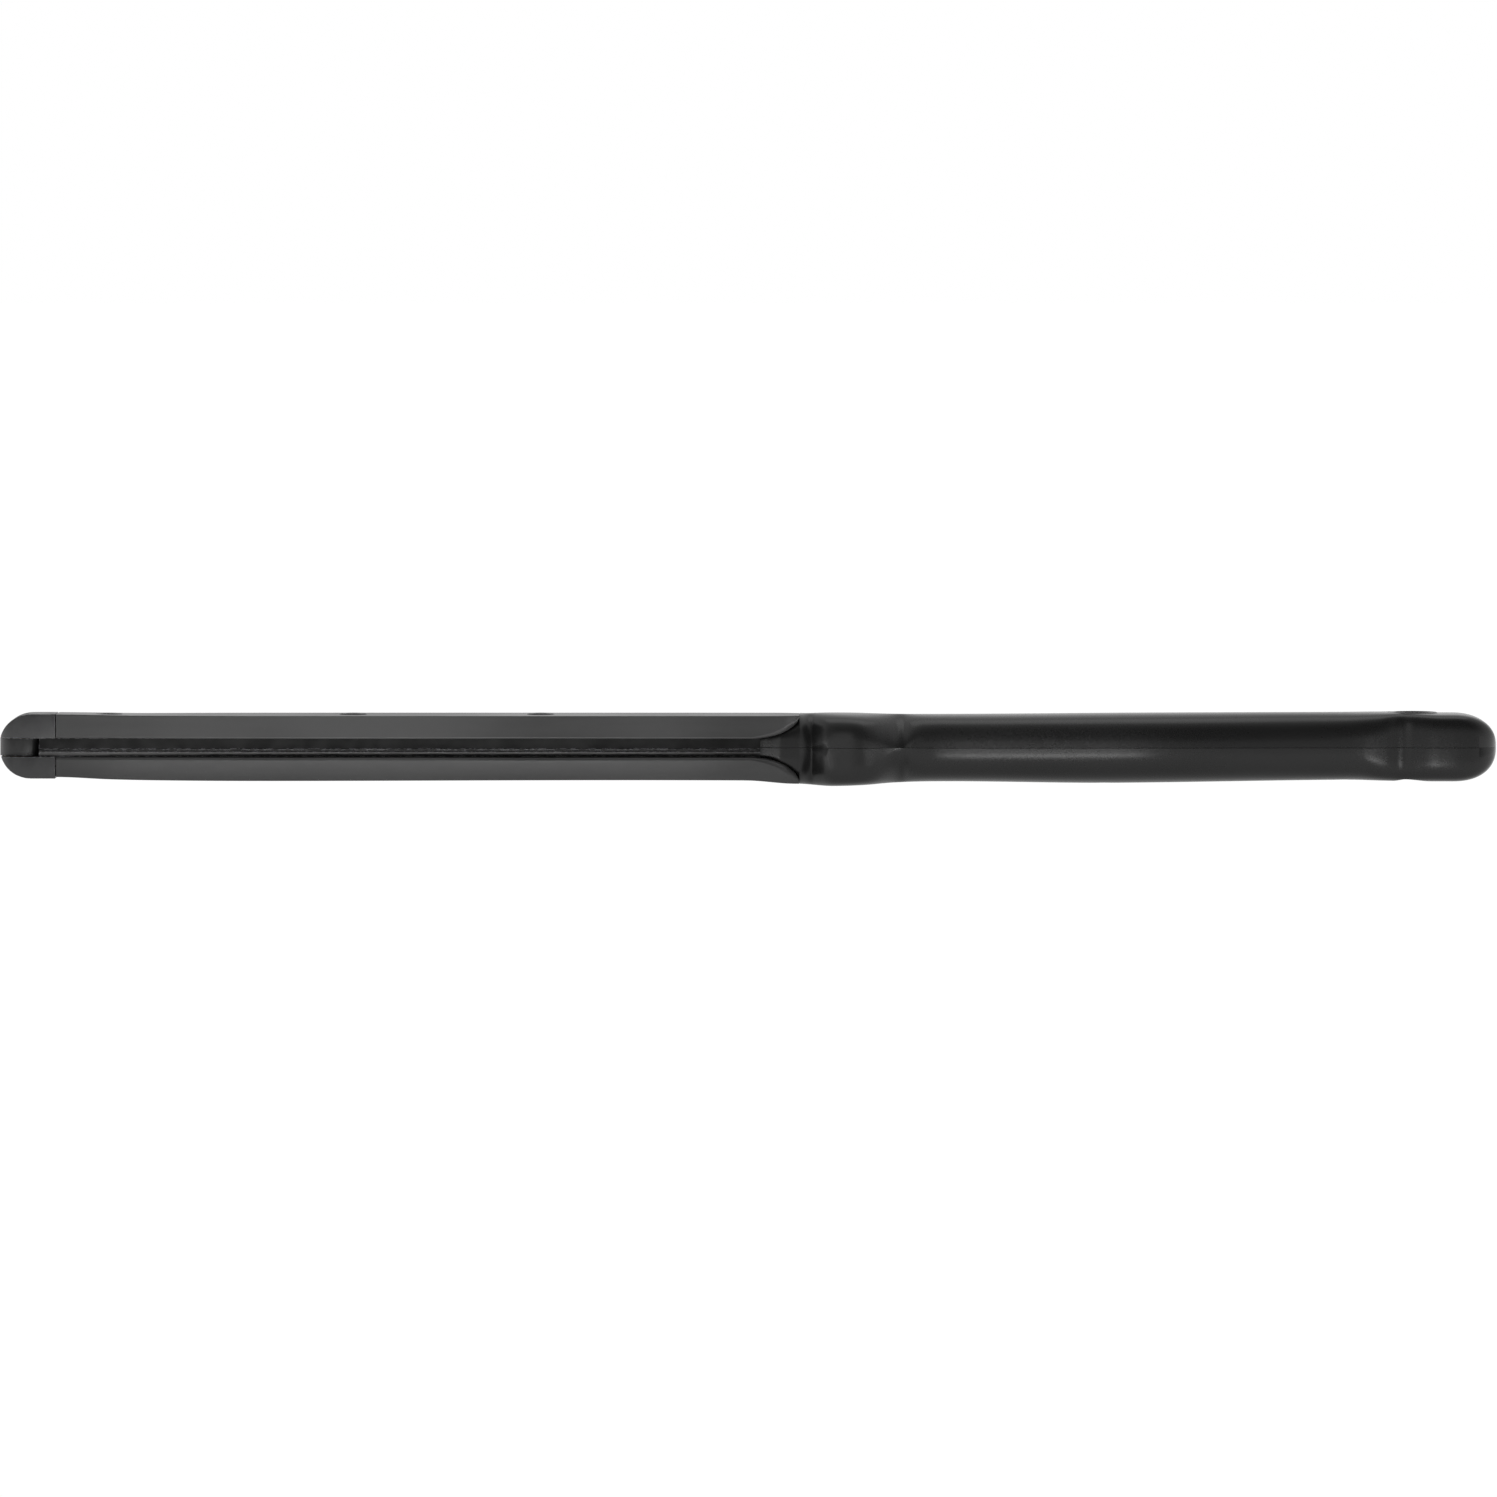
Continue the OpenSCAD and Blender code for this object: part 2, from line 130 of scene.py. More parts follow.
# Heights and half widths of the grip's halves, from the valley between tongue and guard.
GRIP_UPPER = [
    (0, 13.6), (12, 13.75), (55, 13.2), (140, 13.75), (215, 14), (250, 14.05), (262, 13.6),
]
GRIP_LOWER = [
    (-12, 13.4), (0, 15.1), (13, 15.9), (54, 14.2), (125, 14.8), (222, 13.55), (245, 13.9),
    (260, 14),
]
GRIP_HALF = [
    (-16, 10.8), (-12, 12), (-8, 13.8), (-3, 13.6), (0.5, 12.8), (4.8, 10.1), (5, 10), (5.2, 10.1),
    (8, 12.6), (11, 15.2), (17, 17.4), (24, 19.2), (29, 18.2), (36, 15), (41.5, 13), (46, 14),
    (56, 15.6), (90, 16.4), (150, 15.8), (212, 14), (230, 15), (239, 13.6), (244.5, 11.8),
    (250, 13.4), (260, 15.4),
]

# Powers of the superellipse that each grip section follows: 2 is an ellipse, more is squarer.
UPPER_POWER = [
    (-10, 8), (-4, 6), (3, 2.2), (9, 3), (20, 3.6), (30, 2.6), (36, 1.9), (41.5, 1.4), (45, 2),
    (50, 2.7), (62, 3), (212, 3), (236, 4.4), (242, 6), (252, 6.5),
]
LOWER_POWER = [
    (-10, 8), (-4, 6), (3, 2.4), (9, 3.4), (14, 5), (27, 5), (36, 2.2), (41.5, 1.4), (45, 1.9),
    (50, 2.4), (62, 2.6), (226, 2.6), (238, 4.4), (244, 5), (254, 5),
]

# Half width of the shank covers, and how far they rise and drop, from the nose.
COVER_HALF = [
    (FORK_END, 11.5), (60, 13.7), (105, 16.5), (VALLEY - 15, 16.5), (VALLEY - 6, 15.4),
    (VALLEY, 12.8),
]
COVER_RISE = [(FORK_END, COVER_TOP + 0.45), (60, COVER_TOP)]
COVER_DROP = [
    (FORK_END, 12), (45, 12.9), (70, 13.3), (105, 13.4), (VALLEY - 22, 13.2), (VALLEY, 14.7),
]


def slope(table, i):
    """Slope of a table's curve at its point i, level at both ends."""
    if i <= 0 or i >= len(table) - 1:
        return 0.0
    return (table[i + 1][1] - table[i - 1][1]) / (table[i + 1][0] - table[i - 1][0])


def along(table, x):
    """Value of a smooth curve through a table's points, constant beyond its ends."""
    if x <= table[0][0]:
        return table[0][1]
    for i in range(len(table) - 1):
        x0, a = table[i]
        x1, b = table[i + 1]
        if x <= x1:
            width = x1 - x0
            t = (x - x0) / width
            ends = slope(table, i) * (1 - t) - slope(table, i + 1) * t
            level = a * (1 + 2 * t) * (1 - t) ** 2 + b * (3 - 2 * t) * t ** 2
            return level + width * t * (1 - t) * ends
    return table[-1][1]


def fan(x):
    """How far x is into the fan where the slot opens towards the grip, from 0 to 1."""
    return max(0.0, min(1.0, (x - NOTCH_START) / (VALLEY - NOTCH_START)))


def cover_height(x, side):
    return along(COVER_RISE if side > 0 else COVER_DROP, x)


def notch(x, side):
    """Half height of the slot, which opens in an elliptical arc."""
    rise = cover_height(VALLEY, side) + 0.3 - SLOT_HALF
    return SLOT_HALF + rise * (1 - math.sqrt(1 - fan(x) ** 2))


def cap(x):
    """How the grip's section shrinks over its rounded end."""
    power = 2.3
    t = max(0.0, min(1.0, (x - END_CAP) / (BAR_LENGTH - END_CAP)))
    return (1 - t ** power) ** (1 / power)


def place(x, y, z):
    """A point in the scene, from millimetres in the bar's own measures."""
    return Vector((NOSE_X + x * MM, AXIS_Y + y * MM, z * MM))


def spread(start, end, step):
    """Evenly spaced values from start to end, no further apart than step."""
    count = max(1, math.ceil((end - start) / step))
    return [start + (end - start) * k / count for k in range(count + 1)]


def fan_stations(start):
    """Stations along the fan from a start angle, closer together where its edge grows steep."""
    reach = VALLEY - NOTCH_START
    return [NOTCH_START + reach * math.sin(math.radians(a)) for a in spread(start, 84, 3)]


# ---- mesh helpers ----

def new_object(name, bm):
    """Turns bm into an object with its normals outwards."""
    bmesh.ops.recalc_face_normals(bm, faces=bm.faces)
    mesh = bpy.data.meshes.new(name)
    bm.to_mesh(mesh)
    bm.free()
    piece = bpy.data.objects.new(name, mesh)
    bpy.context.scene.collection.objects.link(piece)
    return piece


def skin(name, rings):
    """Closed solid through rings of points given in millimetres."""
    bm = bmesh.new()
    rows = [[bm.verts.new(place(*point)) for point in ring] for ring in rings]
    for near, far in zip(rows, rows[1:]):
        for k in range(len(near)):
            n = (k + 1) % len(near)
            bm.faces.new((near[k], near[n], far[n], far[k]))
    bm.faces.new(rows[0])
    bm.faces.new(rows[-1])
    return new_object(name, bm)


def turn(bm, profile, centre, sides=96):
    """Adds an upright turned solid to bm: profile is (radius, height) pairs, in millimetres.

    A profile that starts and ends on the axis is solid; any other is a closed loop.
    """
    rows = []
    for radius, height in profile:
        count = sides if radius > 0 else 1
        row = []
        for k in range(count):
            a = 2 * math.pi * k / sides
            offset = Vector((radius * math.cos(a), radius * math.sin(a), height))
            row.append(bm.verts.new(place(*(Vector(centre) + offset))))
        rows.append(row)
    pairs = list(zip(rows, rows[1:]))
    if profile[0][0] > 0:
        pairs.append((rows[-1], rows[0]))
    for near, far in pairs:
        for k in range(sides):
            n = (k + 1) % sides
            corners = [near[k % len(near)], near[n % len(near)]]
            corners += [far[n % len(far)], far[k % len(far)]]
            distinct = list(dict.fromkeys(corners))
            if len(distinct) > 2:
                bm.faces.new(distinct)


def turned(name, profile, centres, sides=96):
    """One object with the same turned solid at each centre."""
    bm = bmesh.new()
    for centre in centres:
        turn(bm, profile, centre, sides)
    return new_object(name, bm)


def block(low, high):
    """Plain box to cut with, between two corners in millimetres."""
    outline = [(low[1], low[2]), (high[1], low[2]), (high[1], high[2]), (low[1], high[2])]
    return skin("cut", [[(x, y, z) for y, z in outline] for x in (low[0], high[0])])


def drill(radius, low, high, centres, sides=96):
    """Plain cylinders to cut with."""
    profile = [(0, low), (radius, low), (radius, high), (0, high)]
    return turned("cut", profile, centres, sides=sides)


def stepped_drill(steps, centres):
    """Stepped cylinders to cut with: (radius, low, high) from the bottom up."""
    profile = [(0, steps[0][1])]
    for radius, low, high in steps:
        profile += [(radius, low), (radius, high)]
    profile.append((0, steps[-1][2]))
    return turned("cut", profile, centres)


def settle(piece):
    """Applies a piece's modifiers to its mesh."""
    graph = bpy.context.evaluated_depsgraph_get()
    shaped = bpy.data.meshes.new_from_object(piece.evaluated_get(graph))
    piece.modifiers.clear()
    old = piece.data
    piece.data = shaped
    bpy.data.meshes.remove(old)


def carve(piece, *cutters):
    """Takes the cutters out of the piece, and removes them."""
    for cutter in cutters:
        step = piece.modifiers.new("carve", "BOOLEAN")
        step.operation = "DIFFERENCE"
        step.solver = "EXACT"
        step.object = cutter
    settle(piece)
    for cutter in cutters:
        bpy.data.objects.remove(cutter)


def weld(bm):
    """Removes doubled points and slivers."""
    reach = 0.002 * MM
    bmesh.ops.remove_doubles(bm, verts=bm.verts, dist=reach)
    bmesh.ops.dissolve_degenerate(bm, edges=bm.edges, dist=reach)


def tidy_mesh(piece):
    """Welds what a cut left behind."""
    bm = bmesh.new()
    bm.from_mesh(piece.data)
    weld(bm)
    bm.to_mesh(piece.data)
    bm.free()


def ease_edges(piece, width, angle, segments, except_at=None):
    """Rounds edges sharper than angle by width millimetres, but none at the station except_at."""
    bm = bmesh.new()
    bm.from_mesh(piece.data)
    hard = []
    for edge in bm.edges:
        stations = [(vertex.co.x - NOSE_X) / MM for vertex in edge.verts]
        skipped = except_at is not None and all(abs(x - except_at) < 0.05 for x in stations)
        sharp = len(edge.link_faces) == 2 and edge.calc_face_angle(0) > math.radians(angle)
        if sharp and not skipped:
            hard.append(edge)
    bmesh.ops.bevel(
        bm, geom=hard, offset=width * MM, segments=segments, profile=0.5, affect="EDGES",
        clamp_overlap=True,
    )
    weld(bm)
    bm.to_mesh(piece.data)
    bm.free()


def copy_of(node, name):
    """A copy of a CAD node, with its flat faces joined up."""
    bm = bmesh.new()
    bm.from_mesh(frame["nodes"][node].data)
    bmesh.ops.remove_doubles(bm, verts=bm.verts, dist=0.0001 * MM)
    bmesh.ops.dissolve_limit(bm, angle_limit=math.radians(0.3), verts=bm.verts, edges=bm.edges)
    return new_object(name, bm)


def done(piece, material, body, *nodes, sharp=32):
    """Shades a piece, gives it its material and its body, and hides the nodes it stands for."""
    piece.data.shade_smooth()
    piece.data.set_sharp_from_angle(angle=math.radians(sharp))
    piece.data.materials.clear()
    piece.data.materials.append(material)
    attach(piece, body)
    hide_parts(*nodes)


def rounded(corners, radii, steps):
    """Closed outline through flat corners, each rounded by its own radius."""
    outline = []
    for i, radius in enumerate(radii):
        here = Vector(corners[i])
        before = (Vector(corners[i - 1]) - here).normalized()
        after = (Vector(corners[(i + 1) % len(corners)]) - here).normalized()
        half = before.angle(after) / 2
        centre = here + (before + after).normalized() * (radius / math.sin(half))
        start = here + before * (radius / math.tan(half)) - centre
        end = here + after * (radius / math.tan(half)) - centre
        for k in range(steps + 1):
            outline.append(centre + start.lerp(end, k / steps).normalized() * radius)
    return outline


# ---- materials ----

def grey(value):
    return (value, value, value)


def opaque(colour, gain=1):
    """A colour for a socket, made lighter by gain."""
    return (*(channel * gain for channel in colour), 1)


class Recipe:
    """A node material under construction: a Principled shader, textured by place in metres."""

    def __init__(self, name):
        self.material = bpy.data.materials.new(name)
        self.material.use_nodes = True
        self.tree = self.material.node_tree
        self.shader = self.tree.nodes["Principled BSDF"]
        self.place = self.node("ShaderNodeTexCoord").outputs["Object"]

    def node(self, kind, **settings):
        node = self.tree.nodes.new(kind)
        for key, value in settings.items():
            setattr(node, key, value)
        return node

    def feed(self, socket, value):
        """Links a value's socket, or sets a plain value."""
        if isinstance(value, bpy.types.NodeSocket):
            self.tree.links.new(value, socket)
        else:
            socket.default_value = value

    def noise(self, scale, detail=3.0, stretch=(1, 1, 1)):
        """Noise with this many grains to the metre, stretched along the axes."""
        mapping = self.node("ShaderNodeMapping")
        self.feed(mapping.inputs["Vector"], self.place)
        mapping.inputs["Scale"].default_value = stretch
        noise = self.node("ShaderNodeTexNoise")
        self.feed(noise.inputs["Vector"], mapping.outputs["Vector"])
        noise.inputs["Scale"].default_value = scale
        noise.inputs["Detail"].default_value = detail
        noise.inputs["Roughness"].default_value = 0.55
        return noise.outputs["Fac"]

    def remap(self, value, from_low, from_high, to_low, to_high):
        """Eases value from one range to another, and holds it at the ends."""
        node = self.node("ShaderNodeMapRange", interpolation_type="SMOOTHSTEP")
        self.feed(node.inputs["Value"], value)
        node.inputs["From Min"].default_value = from_low
        node.inputs["From Max"].default_value = from_high
        node.inputs["To Min"].default_value = to_low
        node.inputs["To Max"].default_value = to_high
        return node.outputs["Result"]

    def math(self, operation, a, b):
        node = self.node("ShaderNodeMath", operation=operation)
        self.feed(node.inputs[0], a)
        self.feed(node.inputs[1], b)
        return node.outputs["Value"]

    def blend(self, factor, a, b):
        """Colour a where factor is 0 and b where it is 1."""
        node = self.node("ShaderNodeMix", data_type="RGBA")
        self.feed(node.inputs["Factor"], factor)
        self.feed(node.inputs["A"], a)
        self.feed(node.inputs["B"], b)
        return node.outputs["Result"]

    def edges(self, radius):
        """1 at the edges and corners of the piece, 0 on its open faces."""
        bevel = self.node("ShaderNodeBevel", samples=6)
        bevel.inputs["Radius"].default_value = radius * MM
        geometry = self.node("ShaderNodeNewGeometry")
        dot = self.node("ShaderNodeVectorMath", operation="DOT_PRODUCT")
        self.feed(dot.inputs[0], bevel.outputs["Normal"])
        self.feed(dot.inputs[1], geometry.outputs["Normal"])
        return self.remap(dot.outputs["Value"], 0.995, 0.9, 0.0, 1.0)

    def bump(self, height, distance, strength=1.0):
        """Raises the surface by height times distance, in millimetres."""
        node = self.node("ShaderNodeBump")
        node.inputs["Strength"].default_value = strength
        node.inputs["Distance"].default_value = distance * MM
        self.feed(node.inputs["Height"], height)
        self.feed(self.shader.inputs["Normal"], node.outputs["Normal"])


def moulded(name, dark, light, rough, specular, grain, depth, waves):
    """Moulded nylon: fine grain, flow streaks, slow waves of sheen, dust and rubbed edges."""
    recipe = Recipe(name)
    fine = recipe.noise(grain, 2.0)
    streaks = recipe.noise(60, 4.0, (0.12, 1, 1))
    slow = recipe.noise(11, 1.0, (1, 0.2, 0.6))
    dust = recipe.remap(recipe.noise(2000, 1.0, (0.5, 1, 1)), 0.74, 0.8, 0.0, 0.1)
    rub = recipe.remap(recipe.noise(240), 0.42, 0.62, 0.0, 0.55)
    worn = recipe.math("MULTIPLY", recipe.edges(0.5), rub)
    streak_share = recipe.math("MULTIPLY", streaks, 0.45)
    flow = recipe.math("ADD", streak_share, recipe.math("MULTIPLY", slow, 0.55))
    body = recipe.blend(recipe.remap(flow, 0.35, 0.62, 0.0, 1.0), opaque(dark), opaque(light))
    rubbed = recipe.blend(worn, body, opaque(light, 2.2))
    dusty = recipe.blend(dust, rubbed, opaque(light, 3))
    recipe.feed(recipe.shader.inputs["Base Color"], dusty)
    sheen = recipe.remap(slow, 0.3, 0.7, rough - waves, rough + waves)
    patchy = recipe.math("ADD", sheen, recipe.remap(recipe.noise(420), 0.3, 0.7, -0.015, 0.015))
    recipe.feed(recipe.shader.inputs["Roughness"], patchy)
    recipe.shader.inputs["Specular IOR Level"].default_value = specular
    recipe.bump(recipe.math("ADD", fine, recipe.math("MULTIPLY", streaks, 0.6)), depth)
    return recipe.material


def black_oxide(name, dark, light):
    """Blackened steel: a satin film, thin and grey on the edges, over fine grinding marks."""
    recipe = Recipe(name)
    grind = recipe.noise(900, 3.0, (1, 1, 0.06))
    blotch = recipe.noise(160, 4.0)
    chips = recipe.remap(recipe.noise(700, 3.0), 0.45, 0.6, 0.0, 1.0)
    worn = recipe.math("MULTIPLY", recipe.edges(0.45), chips)
    film = recipe.blend(recipe.remap(blotch, 0.3, 0.7, 0.0, 1.0), opaque(dark), opaque(light))
    bare_steel = (0.3, 0.3, 0.31, 1)
    recipe.feed(recipe.shader.inputs["Base Color"], recipe.blend(worn, film, bare_steel))
    recipe.feed(recipe.shader.inputs["Metallic"], recipe.remap(worn, 0.0, 1.0, 0.0, 0.95))
    recipe.feed(recipe.shader.inputs["Roughness"], recipe.remap(blotch, 0.25, 0.75, 0.34, 0.52))
    recipe.bump(grind, 0.02, 0.6)
    return recipe.material


def bare_metal(name, colour, rough, marks, stretch):
    """Machined or polished metal with fine tool marks and faint stains."""
    recipe = Recipe(name)
    cut = recipe.noise(marks, 3.0, stretch)
    stain = recipe.noise(220, 4.0)
    stained = recipe.remap(stain, 0.35, 0.7, 0.0, 1.0)
    tint = recipe.blend(stained, opaque(colour), opaque(colour, 0.72))
    recipe.feed(recipe.shader.inputs["Base Color"], tint)
    recipe.shader.inputs["Metallic"].default_value = 1.0
    uneven = recipe.remap(cut, 0.25, 0.75, rough * 0.75, rough * 1.3)
    recipe.feed(recipe.shader.inputs["Roughness"], uneven)
    recipe.bump(cut, 0.006)
    return recipe.material


def rubber(name):
    """Black rubber with a fine matt skin."""
    recipe = Recipe(name)
    skin_noise = recipe.noise(2600, 3.0)
    tint = recipe.blend(skin_noise, opaque(grey(0.008)), opaque(grey(0.018)))
    recipe.feed(recipe.shader.inputs["Base Color"], tint)
    recipe.feed(recipe.shader.inputs["Roughness"], recipe.remap(skin_noise, 0.2, 0.8, 0.6, 0.8))
    recipe.bump(skin_noise, 0.03)
    return recipe.material


COVER_NYLON = moulded(
    "cover_nylon", grey(0.026), grey(0.044),
    rough=0.4, specular=0.45, grain=2600, depth=0.01, waves=0.05,
)
GRIP_NYLON = moulded(
    "grip_nylon", grey(0.006), grey(0.01),
    rough=0.28, specular=0.3, grain=3200, depth=0.003, waves=0.02,
)
BLACK_STEEL = black_oxide("black_oxide_steel", (0.024, 0.024, 0.025), (0.034, 0.034, 0.035))
# A darker copy of the black steel: painted shade on the core's web in the slot, and the drive
# head's own darker finish.
ROLLED_STEEL_AND_PAINTED_SHADE = black_oxide("black_rolled_steel_and_painted_shade", grey(0.006), grey(0.014))
# A lighter copy of the black steel: a painted highlight on the core's rib in the slot.
PAINTED_HIGHLIGHT_STEEL = black_oxide("black_steel_painted_highlight", grey(0.022), grey(0.05))
PLATED_STEEL = bare_metal(
    "plated_steel", (0.5, 0.51, 0.53), rough=0.3, marks=1100, stretch=(1, 1, 0.08)
)
POLISHED_STEEL = bare_metal(
    "polished_steel", (0.7, 0.71, 0.73), rough=0.14, marks=1600, stretch=(1, 1, 1)
)
BRONZE = bare_metal("bronze", (0.62, 0.43, 0.18), rough=0.32, marks=900, stretch=(0.2, 1, 1))
PLUG_RUBBER = rubber("plug_rubber")


# ---- shank covers ----

def cover_ring(x, side, inset):
    """One section of a cover: from the slot's edge to the broad face, with flanks that lean in."""
    low = notch(x, side) + inset
    top = max(cover_height(x, side) - inset, low + 0.3)
    half = along(COVER_HALF, x) - inset
    lean_angle = (3.5 if side > 0 else 6.0) * min(1.0, (x - FORK_END) / 60)
    lean = (top - low) * math.tan(math.radians(lean_angle))
    outer_r = min(0.5, (top - low) * 0.3)
    slot_r = min((0.7 if side > 0 else 1.2) + 2.2 * fan(x), (top - low) * 0.45)
    corners = [(-half, low), (half, low), (half - lean, top), (-half + lean, top)]
    outline = rounded(corners, [slot_r, slot_r, outer_r, outer_r], 6)
    return [(x, y, side * z) for y, z in outline]


def cover(name, node, side):
    """Side 1 is the upper cover and side -1 the lower one, cut out for the core and the screws."""
    chamfer, past = 0.03, 40
    stations = [(FORK_END, chamfer), (FORK_END + chamfer, 0)]
    stations += [(x, 0) for x in spread(FORK_END + 2, NOTCH_START, 3)]
    stations += [(x, 0) for x in fan_stations(4)]
    piece = skin(name, [cover_ring(x, side, inset) for x, inset in stations])
    centres = [(x, 0, 0) for x in COVER_SCREWS]
    sleeve = middle("cover_sleeve_nuts")
    core_bottom, core_top = sorted((0, side * CORE_TOP))
    seat = SCREW_SEAT if side > 0 else NUT_SEAT
    inner, outer = sorted((seat, side * (COVER_TOP + 4)))
    carve(
        piece,
        block((-5, -CORE_HALF, core_bottom), (BAR_LENGTH, CORE_HALF, core_top)),
        drill(SLEEVE_R + 0.1, sleeve.z - past, sleeve.z + past, centres),
        drill(HEAD_R + 0.2, inner, outer, centres),
    )
    tidy_mesh(piece)
    ease_edges(piece, 0.15, 50, 2, except_at=FORK_END)
    done(piece, COVER_NYLON, "handle", node)
    even_shading = piece.modifiers.new("even_shading", "WEIGHTED_NORMAL")
    even_shading.keep_sharp = True


# ---- grip ----

def grip_height(x, side):
    full = along(GRIP_UPPER if side > 0 else GRIP_LOWER, x - VALLEY)
    return cap(x) * (full if x >= VALLEY else min(full, notch(x, side) + 0.6))


def grip_ring(x, side):
    """One section of a grip half: a superellipse with a small chamfer along the parting line."""
    s = x - VALLEY
    half = along(GRIP_HALF, s) * cap(x)
    height = grip_height(x, side)
    power = 2 / along(UPPER_POWER if side > 0 else LOWER_POWER, s)
    gap = 0.03
    seam = min(0.1, 0.2 * half, 0.2 * height)
    steps = 44
    ring = [(x, half - seam, side * gap)]
    for k in range(steps + 1):
        a = math.pi * k / steps
        across = math.copysign(abs(math.cos(a)) ** power, math.cos(a))
        up = math.sin(a) ** power if 0 < k < steps else 0.0
        ring.append((x, half * across, side * (gap + seam + (height - gap - seam) * up)))
    ring.append((x, seam - half, side * gap))
    return ring


def grip_stations():
    """Stations along the grip, closer together in its valley, creases and rounded end."""
    stations = [x for x in fan_stations(0) + [VALLEY - 0.03] if x > TONGUE_START + 0.3]
    stations.insert(0, TONGUE_START)
    stations += spread(VALLEY + 0.3, VALLEY + 8, 0.5)
    stations += spread(VALLEY + 8.6, VALLEY + 58, 1.1)
    stations += spread(VALLEY + 60, VALLEY + 208, 3)
    stations += spread(VALLEY + 210, END_CAP, 1.1)
    reach = BAR_LENGTH - END_CAP
    stations += [END_CAP + reach * math.sin(math.radians(a)) for a in range(5, 90, 5)]
    return stations


def grip_half(name, node, side):
    """Side 1 is the upper half, with the inserts; side -1 the lower one, with the screws."""
    piece = skin(name, [grip_ring(x, side) for x in grip_stations()])
    # The cutters leave a small gap round the steel, and run well past the piece where they open.
    gap = 0.1
    centres = [(x, 0, 0) for x in GRIP_SCREWS]
    eyelet = [(HANG_X, 0, 0)]
    cutters = [
        block(
            (TONGUE_START - 5, -CORE_HALF - gap, -CORE_TOP - gap),
            (TANG_START + gap, CORE_HALF + gap, CORE_TOP + gap),
        ),
        block(
            (TANG_START - 1, -TANG_HALF - gap, -TANG_TOP - gap),
            (TANG_END + gap, TANG_HALF + gap, TANG_TOP + gap),
        ),
    ]
    if side > 0:
        seat = heights("hang_eyelet")[1] - EYELET_THICK
        cutters.append(drill(INSERT_R, -1, heights("grip_inserts")[1] + 0.3, centres))
        steps = [(WASHER_BORE, -30, seat), (EYELET_FLANGE + 0.2, seat, 25)]
        cutters.append(stepped_drill(steps, eyelet))
    else:
        mouth = heights("grip_screws")[0] + 2.6
        seat = heights("eyelet_washer")[1]
        cutters.append(stepped_drill([(PLUG_R + 0.05, -28, mouth), (2.2, mouth, 1)], centres))
        steps = [(EYELET_FLANGE + 0.15, -24, seat), (WASHER_BORE, seat, 31)]
        cutters.append(stepped_drill(steps, eyelet))
    carve(piece, *cutters)
    tidy_mesh(piece)
    done(piece, GRIP_NYLON, "handle", node, sharp=40)


# ---- steel core, fork and head ----

def core_flank(name, side):
    """The flank of the core that shows in the slot: a web that leans back, over a raised rib; the
    web is painted darker as shade and the rib painted lighter as a highlight.
    """
    web, rib = CORE_HALF + 0.05, CORE_HALF + 1.8
    web_section = [
        (CORE_HALF - 0.5, 3.7), (CORE_HALF - 0.5, -3.7), (web, -3.7), (web + 0.15, -0.9),
        (web + 1.1, -0.5), (web, 3.7),
    ]
    rib_section = [
        (CORE_HALF - 0.3, -1.55), (CORE_HALF - 0.3, -3.25), (rib - 0.4, -3.25), (rib - 0.15, -3.0),
        (rib - 0.05, -2.4), (rib, -1.8), (rib - 0.2, -1.55),
    ]
    stations = spread(SLOT_END, TONGUE_START + 3.5, 12)
    # The web takes a darker steel as painted shade, and the rib a lighter steel as a painted
    # highlight.
    parts = [("_web", web_section, ROLLED_STEEL_AND_PAINTED_SHADE), ("_rib", rib_section, PAINTED_HIGHLIGHT_STEEL)]
    for ending, section, painted_tone in parts:
        rings = [[(x, side * y, z) for y, z in section] for x in stations]
        done(skin(name + ending, rings), painted_tone, "handle", "core_bar", sharp=40)


def core_bar():
    piece = copy_of("core_bar", "core_and_fork")
    ease_edges(piece, 0.45, 40, 3, except_at=FORK_END)
    done(piece, BLACK_STEEL, "handle", "core_bar")


def drive_head():
    piece = copy_of("drive_head", "drive_head_forged")
    ease_edges(piece, 0.35, 40, 3)
    done(piece, ROLLED_STEEL_AND_PAINTED_SHADE, "head", "drive_head")


def ball(name, node, body):
    """Ground ball that fills the node's height."""
    low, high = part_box(node)
    radius = (high.z - low.z) / 2 / MM
    profile = []
    for a in range(-90, 91, 6):
        at = math.radians(a)
        profile.append((radius * math.cos(at) if abs(a) < 90 else 0, radius * math.sin(at)))
    piece = turned(name, profile, [middle(node)], sides=64)
    done(piece, POLISHED_STEEL, body, node)


def pin():
    """Hinge pin with a groove for its set screw and a rounded upper end."""
    low, high = heights("hinge_pin")
    radius = 3.5
    centre = middle("hinge_pin")
    groove_low, groove_high = 6.2, 10.2
    profile = [
        (0, low), (radius - 0.5, low), (radius, low + 0.5), (radius, groove_low),
        (radius - 0.5, groove_low + 0.3), (radius - 0.5, groove_high - 0.3), (radius, groove_high),
        (radius, high - 0.7), (radius - 0.2, high - 0.3), (radius - 0.7, high - 0.05), (0, high),
    ]
    piece = turned("hinge_pin_turned", [(r, h - centre.z) for r, h in profile], [centre])
    ease_edges(piece, 0.08, 30, 2)
    done(piece, PLATED_STEEL, "handle", "hinge_pin")


def thrust_washer(node):
    """Thin washer with a softened rim."""
    low, high = heights(node)
    centre = middle(node)
    half = (high - low) / 2
    bore, rim = 3.6, 8.0
    profile = [(bore, -half), (rim - 0.05, -half), (rim, 0), (rim - 0.05, half), (bore, half)]
    piece = turned(node + "_turned", profile, [centre])
    done(piece, BRONZE, "handle", node)


